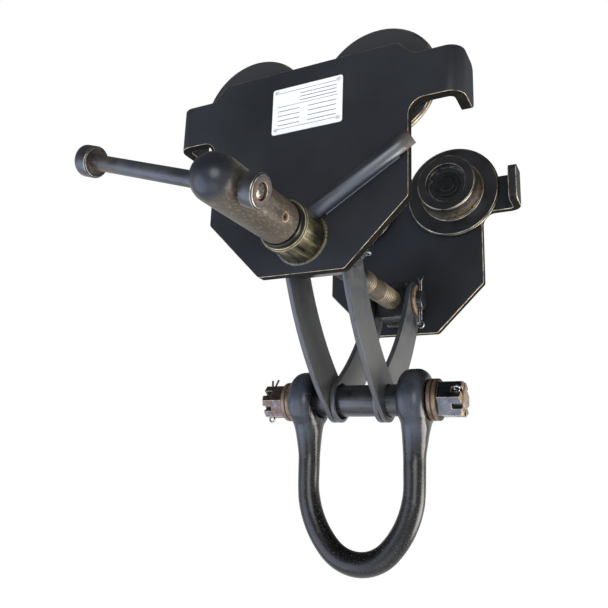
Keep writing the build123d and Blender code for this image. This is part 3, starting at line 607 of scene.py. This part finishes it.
# Zinc with a yellow passivate: dull, brownish gold.
yellow_washer = finish(
    "yellow_passivated_steel", "#5a4c3e", "#8f7c65", 5 * MM, (0.38, 0.5), 0.8 * MM, 0.01 * MM,
    Metallic=0.6)
dress(["front_trunnion_washers"], block_enamel, width=0.4 * MM)
dress(["rear_trunnion_washers"], yellow_washer, width=0.4 * MM)


def split_pin(mesh, where, reach, wire, eye, tails=((-3.2, 2.9), (3.2, 2.9))):
    """A split pin along Z: two half-round legs side by side, an eye on top and bent tails below."""
    leg = wire / 2
    (left, left_drop), (right, right_drop) = [(aside * MM, drop * MM) for aside, drop in tails]
    path = [(left, -reach - left_drop), (-leg, -reach + wire), (-leg, reach - wire)]
    path += [(-leg * 1.2, reach)]
    eye_steps = 20
    turns = [math.radians(-118 - 304 * k / eye_steps) for k in range(eye_steps + 1)]
    path += [(eye * math.cos(t), reach + eye + eye * math.sin(t)) for t in turns]
    path += [(leg * 1.2, reach), (leg, reach - wire), (leg, -reach + wire)]
    path += [(right, -reach - right_drop)]
    points = [where @ Vector((x, 0, z)) for x, z in path]
    across = (where.to_3x3() @ along_y).normalized()
    count = len(points)
    swept(mesh, points, across, [leg * 0.96] * count, [wire * 0.8] * count)


# Zinc-plated wire: silver-grey, gone dull in patches.
dull_zinc = finish(
    "dulled_zinc_wire", "#55575a", "#a2a4a6", 3 * MM, (0.25, 0.38), 0.6 * MM, 0.004 * MM,
    Metallic=1.0)
for end, sign, turn, reach in (
    ("front", -1, -90, front_pin_reach), ("rear", 1, 180, rear_pin_reach),
):
    mesh = bmesh.new()
    cotters = end + "_trunnion_cotters"
    low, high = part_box(cotters)
    for x in (low.x + trunnion_eye + pin_wire, high.x - trunnion_eye - pin_wire):
        where = Matrix.Translation((x, sign * trunnion_y, axis_z))
        where = where @ Matrix.Rotation(math.radians(turn), 4, "X")
        split_pin(mesh, where, reach, pin_wire, trunnion_eye)
    put(end + "_split_pins", mesh, dull_zinc, end + "_side", "bright_zinc", cotters)

# Shackle. A forged bow, painted black, on a bolt that passes through all four links; two
# washers, a castle nut and a split pin hold it at each end.
bolt_low, bolt_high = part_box("shackle_bolt")
bolt_z = (bolt_low.z + bolt_high.z) / 2
neck_rounds = 22
neck_swell = 0.8 * MM

# Black gloss on a forging: wet-looking lights on a pitted skin, with pale chips. The fronts of
# the ears are painted blue-grey as a highlight, and the slings have dulled the legs.
forged_black = finish(
    "black_painted_forging", "#08090a", "#131415", 9 * MM, (0.16, 0.26), 2.2 * MM, 0.06 * MM,
    Specular_IOR_Level=0.3)
overlay(forged_black, "#08090a", 0.27, mask_by(forged_black, "Object", "Z", -225 * MM, -255 * MM))
# Painted highlight: soft blue-grey patches on the forward faces of the ears.
ears = mask_by(forged_black, "Object", "Z", -238 * MM, -220 * MM)
forward = mask_by(forged_black, "Normal", "Y", -0.3, -0.85)
overlay(forged_black, "#353a43", 0.34, patches(forged_black, 16 * MM, 2, 0.1, 0.6), ears, forward)
overlay(forged_black, "#4b473f", 0.5, patches(forged_black, 1.2 * MM, 3, 0.6, 0.72))
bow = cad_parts["shackle_bow"]
bow.data.materials.clear()
bow.data.materials.append(forged_black)
skin = bow.modifiers.new("forged_skin", "REMESH")
skin.mode = "VOXEL"
skin.voxel_size = 1.5 * MM
skin.use_smooth_shade = True
# The hammer leaves no corner between ear and leg: the necks are smoothed, and swollen by what
# the smoothing takes off them.
blend = bpy.data.node_groups.new("hammered_necks", "GeometryNodeTree")
for way in ("INPUT", "OUTPUT"):
    blend.interface.new_socket("Geometry", in_out=way, socket_type="NodeSocketGeometry")
place = add(blend, "GeometryNodeInputPosition", {})
height = add(blend, "SeparateXYZ", {0: place}, "Z")
below_ears = add(blend, "MapRange", {"Value": height, "From Min": -210 * MM, "From Max": -217 * MM})
above_legs = add(blend, "MapRange", {"Value": height, "From Min": -275 * MM, "From Max": -250 * MM})
neck = add(blend, "Math", {0: below_ears, 1: above_legs}, operation="MULTIPLY")
smooth = add(blend, "GeometryNodeBlurAttribute", {
    "Value": place, "Iterations": neck_rounds, "Weight": neck}, data_type="FLOAT_VECTOR")
swell = add(blend, "VectorMath", {
    0: add(blend, "GeometryNodeInputNormal", {}),
    "Scale": add(blend, "Math", {0: neck, 1: neck_swell}, operation="MULTIPLY")}, operation="SCALE")
moved = add(blend, "GeometryNodeSetPosition", {
    "Geometry": add(blend, "NodeGroupInput", {}), "Position": smooth, "Offset": swell})
blend.links.new(moved, blend.nodes.new("NodeGroupOutput").inputs[0])
bow.modifiers.new("hammered_necks", "NODES").node_group = blend

# Bolt paint: smooth satin black, rusted to a pale brown on the bare ends.
bolt_paint = finish(
    "black_bolt_paint", "#161719", "#26282b", 12 * MM, (0.22, 0.34), 1 * MM, 0.01 * MM)
bolt_ends = mask_by(bolt_paint, "Object", "X", 88 * MM, 89 * MM, mirrored=True)
overlay(bolt_paint, "#7d6951", 0.55, bolt_ends, patches(bolt_paint, 3 * MM, 6, 0.2, 0.7))
dress(["shackle_bolt"], bolt_paint, lit_and_rubbed_edge, 0.4 * MM)

# Washers of browned steel: dull brown rings, with painted shade in the joints between them.
brown_washer = finish(
    "browned_bolt_washer", "#53453a", "#7b6853", 5 * MM, (0.34, 0.46), 0.8 * MM, 0.01 * MM,
    Metallic=0.6)
for joint in (60.8 * MM, 65 * MM, 69.2 * MM):
    joint_shade_in = mask_by(
        brown_washer, "Object", "X", joint - 0.9 * MM, joint - 0.5 * MM, mirrored=True)
    joint_shade_out = mask_by(
        brown_washer, "Object", "X", joint + 0.9 * MM, joint + 0.5 * MM, mirrored=True)
    overlay(brown_washer, "#2a221b", 0.55, joint_shade_in, joint_shade_out)
dress(["bolt_washers"], brown_washer, width=0.9 * MM, segments=3)

# Nuts of plain steel: grey with clear reflections, rusted brown at their ends, and the left one
# all over.
nut_steel = finish(
    "grey_nut_steel", "#414347", "#5d6065", 7 * MM, (0.2, 0.32), 0.8 * MM, 0.01 * MM, Metallic=1.0)
nut_ends = mask_by(nut_steel, "Object", "X", 86.6 * MM, 88.6 * MM, mirrored=True)
overlay(nut_steel, "#8a6f57", 0.6, nut_ends, patches(nut_steel, 3 * MM, 6, 0.35, 0.6))
left_nut = mask_by(nut_steel, "Object", "X", -68 * MM, -72 * MM)
overlay(nut_steel, "#5f4d42", 0.55, left_nut, patches(nut_steel, 3 * MM, 6, 0.32, 0.62))

# The nuts are hexagons with a slot sawn through the middle of each flat, and a turned chamfer.
# Each is drawn corner by corner: a sector from the middle of one flat to the middle of the next.
seat_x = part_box("bolt_washers")[1].x
nut_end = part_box("castle_nuts")[1].x
slot_depth = 8 * MM
slot_floor = nut_end - slot_depth
half_flat = 13.5 * MM
half_slot = 2.3 * MM
bore_radius = 9 * MM
chamfer_radius = 13.7 * MM
half_sector = math.radians(30)
half_edge = half_flat * math.tan(half_sector)
steps = [0, half_slot] + [half_slot + (half_edge - half_slot) * k / 3 for k in (1, 2, 3)]
slot_angle = math.asin(half_slot / bore_radius)
bore_arc = 2 * half_sector - 2 * slot_angle
bore_turns = [-half_sector]
bore_turns += [-half_sector + slot_angle + k / 6 * bore_arc for k in range(7)]
bore_turns += [half_sector]
mesh = bmesh.new()
for hand in (-1, 1):
    for corner in [math.radians(60 * k) for k in range(6)]:
        halves = []
        for side in (-1, 1):
            turn = corner + side * half_sector
            normal = Vector((0, math.cos(turn), math.sin(turn)))
            along = Vector((0, math.sin(turn), -math.cos(turn))) * side
            halves.append([normal * half_flat + along * d for d in steps])
        outer = halves[0] + halves[1][-2::-1]
        turns = [corner + t for t in bore_turns]
        inner = [Vector((0, math.cos(t), math.sin(t))) * bore_radius for t in turns]
        rows = []
        for edge_point, bore_point in zip(outer, inner):
            cut = max(0, edge_point.length - chamfer_radius)
            top = edge_point * (1 - cut / edge_point.length)
            levels = [(bore_point, seat_x), (edge_point, seat_x), (edge_point, slot_floor)]
            levels += [(edge_point, nut_end - cut * math.tan(half_sector)), (top, nut_end)]
            levels += [(bore_point, nut_end), (bore_point, slot_floor)]
            rows.append([Vector((hand * x, point.y, bolt_z + point.z)) for point, x in levels])
        for i, (first, second) in enumerate(zip(rows, rows[1:])):
            in_slot = i in (0, len(rows) - 2)
            around = (0, 1, 2, 6) if in_slot else (0, 1, 2, 3, 4, 5, 6)
            for a, b in zip(around, around[1:] + around[:1]):
                quad = (first[a], first[b], second[b], second[a])
                mesh.faces.new([mesh.verts.new(p) for p in quad])
        for wall in (rows[1], rows[-2]):
            mesh.faces.new([mesh.verts.new(p) for p in wall[2:7]])
bmesh.ops.remove_doubles(mesh, verts=mesh.verts[:], dist=0.001 * MM)
nuts = put("slotted_nuts", mesh, nut_steel, "shackle_bolt", "nut_steel", "castle_nuts")
break_edges(nuts, lit_and_rubbed_edge, 0.3 * MM)

# Their split pins pass through the slots. One tail is left straight, the other bent outwards.
slot_x = 85.45 * MM
nut_pin_reach = 13 * MM
nut_eye = 2.3 * MM
straight, bent = (1, 6.4), (5.2, 7)
mesh = bmesh.new()
for x, turn, tails in (
    (-slot_x, 180, ((-straight[0], straight[1]), bent)),
    (slot_x, 60, ((-bent[0], bent[1]), straight)),
):
    where = Matrix.Translation((x, 0, bolt_z)) @ Matrix.Rotation(math.radians(turn), 4, "X")
    split_pin(mesh, where, nut_pin_reach, pin_wire, nut_eye, tails)
put("nut_split_pins", mesh, dull_zinc, "shackle_bolt", "bright_zinc", "nut_cotters")

# Studio. A wide pale floor well below the hanging trolley, a pale surround, and soft lamps.
# Floor and surround are white to the camera and to shiny metal, and light the trolley less.
floor_half = 15
floor_drop = 0.9
floor_glow = 0.6
floor_z = cad_low.z - floor_drop
floor_mesh = bpy.data.meshes.new("studio_floor")
floor_corners = [(-floor_half, -floor_half, floor_z), (floor_half, -floor_half, floor_z),
                 (floor_half, floor_half, floor_z), (-floor_half, floor_half, floor_z)]
floor_mesh.from_pydata(floor_corners, [], [(0, 1, 2, 3)])
floor = bpy.data.objects.new("studio_floor", floor_mesh)
bpy.context.scene.collection.objects.link(floor)
floor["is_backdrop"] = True

# Matt studio board: white, without a reflection.
pale_floor = bpy.data.materials.new("pale_studio_floor")
pale_floor.use_nodes = True
shader = pale_floor.node_tree.nodes["Principled BSDF"]
shader.inputs["Base Color"].default_value = srgb("#f2f2f2")
shader.inputs["Roughness"].default_value = 0.9
shader.inputs["Emission Color"].default_value = (1, 1, 1, 1)


def seen_directly(owner):
    """1 on rays from the camera and on rays that a shiny or clear surface sends on, else 0."""
    eye = add(owner, "LightPath", {}, "Is Camera Ray")
    for kind in ("Is Glossy Ray", "Is Transmission Ray"):
        ray = add(owner, "LightPath", {}, kind)
        eye = add(owner, "Math", {0: eye, 1: ray}, operation="MAXIMUM")
    return eye


lift = add(pale_floor, "Math", {0: seen_directly(pale_floor), 1: floor_glow}, operation="MULTIPLY")
pale_floor.node_tree.links.new(lift, shader.inputs["Emission Strength"])
floor_mesh.materials.append(pale_floor)

# In shiny metal the surround darkens overhead, as a studio's ceiling does.
world = bpy.data.worlds.new("studio")
bpy.context.scene.world = world
world.use_nodes = True
surround = world.node_tree.nodes["Background"]
surround.inputs["Color"].default_value = (1, 1, 1, 1)
height = add(world, "SeparateXYZ", {0: add(world, "TexCoord", {}, "Generated")}, "Z")
ceiling = add(world, "MapRange", {
    "Value": height, "From Min": 0.1, "From Max": 0.45, "To Min": 1.0, "To Max": 0.15})
strength = add(world, "Mix", {0: seen_directly(world), 2: 0.5, 3: ceiling}, data_type="FLOAT")
eye = add(world, "LightPath", {}, "Is Camera Ray")
strength = add(world, "Mix", {0: eye, 2: strength, 3: 1.0}, data_type="FLOAT")
world.node_tree.links.new(strength, surround.inputs["Strength"])

middle = (cad_low + cad_high) / 2
# Name, place from the trolley's middle in metres, width in metres, watts and tint.
lamps = (
    ("right_softbox", (0.85, 0.35, -0.4), 0.7, 15, "#fff9f0"),
    ("left_softbox", (-0.7, -0.65, -0.45), 1.1, 11, "#d3deff"),
    ("low_softbox", (0.1, -0.7, -0.9), 0.9, 3.2, "#e2e9fa"),
    ("front_softbox", (0.6, -1.25, 0.0), 0.8, 10, "#ffffff"),
)
for name, offset, size, watts, tint in lamps:
    lamp = bpy.data.lights.new(name, "AREA")
    lamp.shape = "DISK"
    lamp.size = size
    lamp.energy = watts
    lamp.color = srgb(tint)[:3]
    holder = bpy.data.objects.new(name, lamp)
    holder.location = middle + Vector(offset)
    holder.rotation_euler = (-Vector(offset)).to_track_quat("-Z", "Y").to_euler()
    holder.visible_camera = False
    bpy.context.scene.collection.objects.link(holder)

# Camera. It stands where the photograph was taken from: low, to the right and looking up. Its
# place and lens were fitted to points on the plates, wheels and links.
view = bpy.data.cameras.new("photo_view")
view.sensor_width = 36
view.lens = 40.49
view.clip_start = 0.01
view_place = (0.2214, -0.5408, -0.2564)
view_turn, view_tilt, view_roll = 27.29, 13.96, 2.07
camera = bpy.data.objects.new("photo_view", view)
camera.matrix_world = (
    Matrix.Translation(view_place)
    @ Matrix.Rotation(math.radians(view_turn), 4, "Z")
    @ Matrix.Rotation(math.radians(90 + view_tilt), 4, "X")
    @ Matrix.Rotation(math.radians(view_roll), 4, "Z")
)
bpy.context.scene.collection.objects.link(camera)
bpy.context.scene.camera = camera

low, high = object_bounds()
